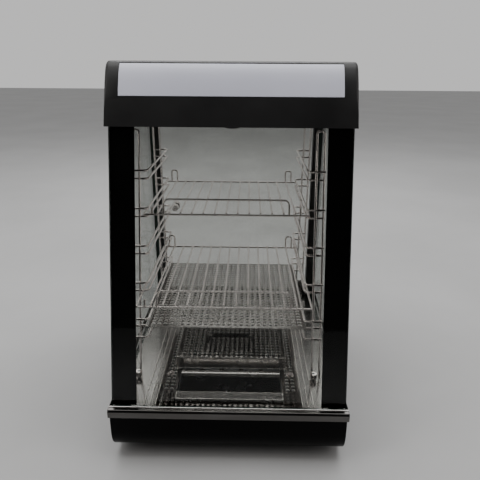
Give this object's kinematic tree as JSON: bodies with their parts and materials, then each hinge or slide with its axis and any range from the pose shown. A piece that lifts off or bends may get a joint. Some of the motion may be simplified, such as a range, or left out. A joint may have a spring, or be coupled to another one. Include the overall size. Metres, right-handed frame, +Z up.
{
  "type": "hot_food_display_case",
  "caption": "Countertop heated food display case with sloping front glass, black lit header, wire shelves and a hinged rear glass door",
  "frame": {"origin": "centre of the footprint on the supporting surface", "axes": "+X right seen from the front, +Y to the rear door, +Z up; the front glass faces -Y"},
  "size_m": [0.38, 0.48, 0.612],
  "materials": {
    "black_coat": "satin black powder coat",
    "black_gloss": "glossy black",
    "stainless": "brushed stainless sheet",
    "chrome": "bright plated wire",
    "zinc": "zinc plated sheet",
    "clear_glass": "clear toughened glass",
    "opal": "translucent opal acrylic",
    "rubber": "black rubber",
    "black_plastic": "black moulded plastic",
    "white_plastic": "off-white moulded plastic",
    "red_plastic": "translucent red plastic",
    "element": "heat-darkened steel sheath"
  },
  "bodies": {
    "case": {"front_fascia": "black_gloss", "bottom_plate": "zinc", "foot_front_left": "rubber", "foot_front_right": "rubber", "foot_rear_left": "rubber", "foot_rear_right": "rubber", "trim_ledge": "stainless", "floor_pan": "stainless", "heater_well": "zinc", "well_support": "zinc", "heating_element": "element", "element_bracket": "zinc", "control_panel": "black_coat", "thermostat_body": "white_plastic", "switch_housing_heat": "black_plastic", "switch_housing_light": "black_plastic", "indicator_lamp": "red_plastic", "cord_gland": "black_plastic", "terminal_block": "white_plastic", "header_shell": "black_coat", "light_diffuser": "opal", "header_ceiling": "stainless", "glass_retainer": "black_coat", "light_tube": "opal", "lamp_holder_left": "white_plastic", "lamp_holder_right": "white_plastic", "light_reflector": "white_plastic", "rear_rail_top": "black_coat", "rear_rail_bottom": "black_coat", "base_side_left": "black_coat", "base_side_right": "black_coat", "side_glass_left": "clear_glass", "side_glass_right": "clear_glass", "front_post_left": "black_coat", "front_post_right": "black_coat", "rear_post_left": "black_coat", "rear_post_right": "black_coat", "rack_left": "chrome", "rack_right": "chrome", "rack_stud_left": "zinc", "rack_stud_right": "zinc"},
    "front_glass_panel": {"front_glass": "clear_glass", "glass_border_left": "black_gloss", "glass_border_right": "black_gloss"},
    "rear_door": {"rear_door_glass": "clear_glass", "door_clamp_lower": "chrome", "door_clamp_upper": "chrome", "door_knob_inner": "chrome", "door_knob_outer": "chrome"},
    "upper_shelf": {"wire_shelf_upper": "chrome"},
    "lower_shelf": {"wire_shelf_lower": "chrome"},
    "food_tray": {"perforated_tray": "stainless"},
    "heater_cover": {"element_cover": "stainless"},
    "humidity_trough": {"water_trough": "stainless"},
    "thermostat_dial": {"thermostat_shaft": "zinc", "thermostat_knob": "black_plastic"},
    "heat_rocker": {"switch_rocker_heat": "red_plastic"},
    "light_rocker": {"switch_rocker_light": "black_plastic"},
    "left_thumb_nut": {"thumb_nut_left": "chrome"},
    "right_thumb_nut": {"thumb_nut_right": "chrome"}
  },
  "joints": [
    {"name": "front_glass_lift", "type": "slide", "parent": "case", "child": "front_glass_panel", "axis": [0, 0.2516, 0.9678], "range_m": [0, 0.008]},
    {"name": "rear_door_swing", "type": "hinge", "parent": "case", "child": "rear_door", "pos_m": [0.176, 0.223, 0.3], "axis": [0, 0, -1], "range_deg": [0, 105]},
    {"name": "upper_shelf_slide", "type": "slide", "parent": "case", "child": "upper_shelf", "axis": [0, -1, 0], "range_m": [0, 0.055]},
    {"name": "lower_shelf_slide", "type": "slide", "parent": "case", "child": "lower_shelf", "axis": [0, 1, 0], "range_m": [0, 0.065]},
    {"name": "food_tray_slide", "type": "slide", "parent": "case", "child": "food_tray", "axis": [0, -1, 0], "range_m": [0, 0.05]},
    {"name": "heater_cover_lift", "type": "slide", "parent": "case", "child": "heater_cover", "axis": [0, 0, 1], "range_m": [0, 0.04]},
    {"name": "trough_lift", "type": "slide", "parent": "case", "child": "humidity_trough", "axis": [0, 0, 1], "range_m": [0, 0.03]},
    {"name": "thermostat_turn", "type": "hinge", "parent": "case", "child": "thermostat_dial", "pos_m": [-0.115, 0.2215, 0.048], "axis": [0, -1, 0], "range_deg": [0, 270]},
    {"name": "heat_rocker_tilt", "type": "hinge", "parent": "case", "child": "heat_rocker", "pos_m": [-0.055, 0.2215, 0.048], "axis": [1, 0, 0], "range_deg": [-6, 6]},
    {"name": "light_rocker_tilt", "type": "hinge", "parent": "case", "child": "light_rocker", "pos_m": [-0.02, 0.2215, 0.048], "axis": [1, 0, 0], "range_deg": [-6, 6]},
    {"name": "left_nut_turn", "type": "hinge", "parent": "case", "child": "left_thumb_nut", "pos_m": [-0.1608, -0.13727, 0.095], "axis": [0, 0, 1], "continuous": true},
    {"name": "right_nut_turn", "type": "hinge", "parent": "case", "child": "right_thumb_nut", "pos_m": [0.1452, -0.13727, 0.095], "axis": [0, 0, 1], "continuous": true}
  ]
}
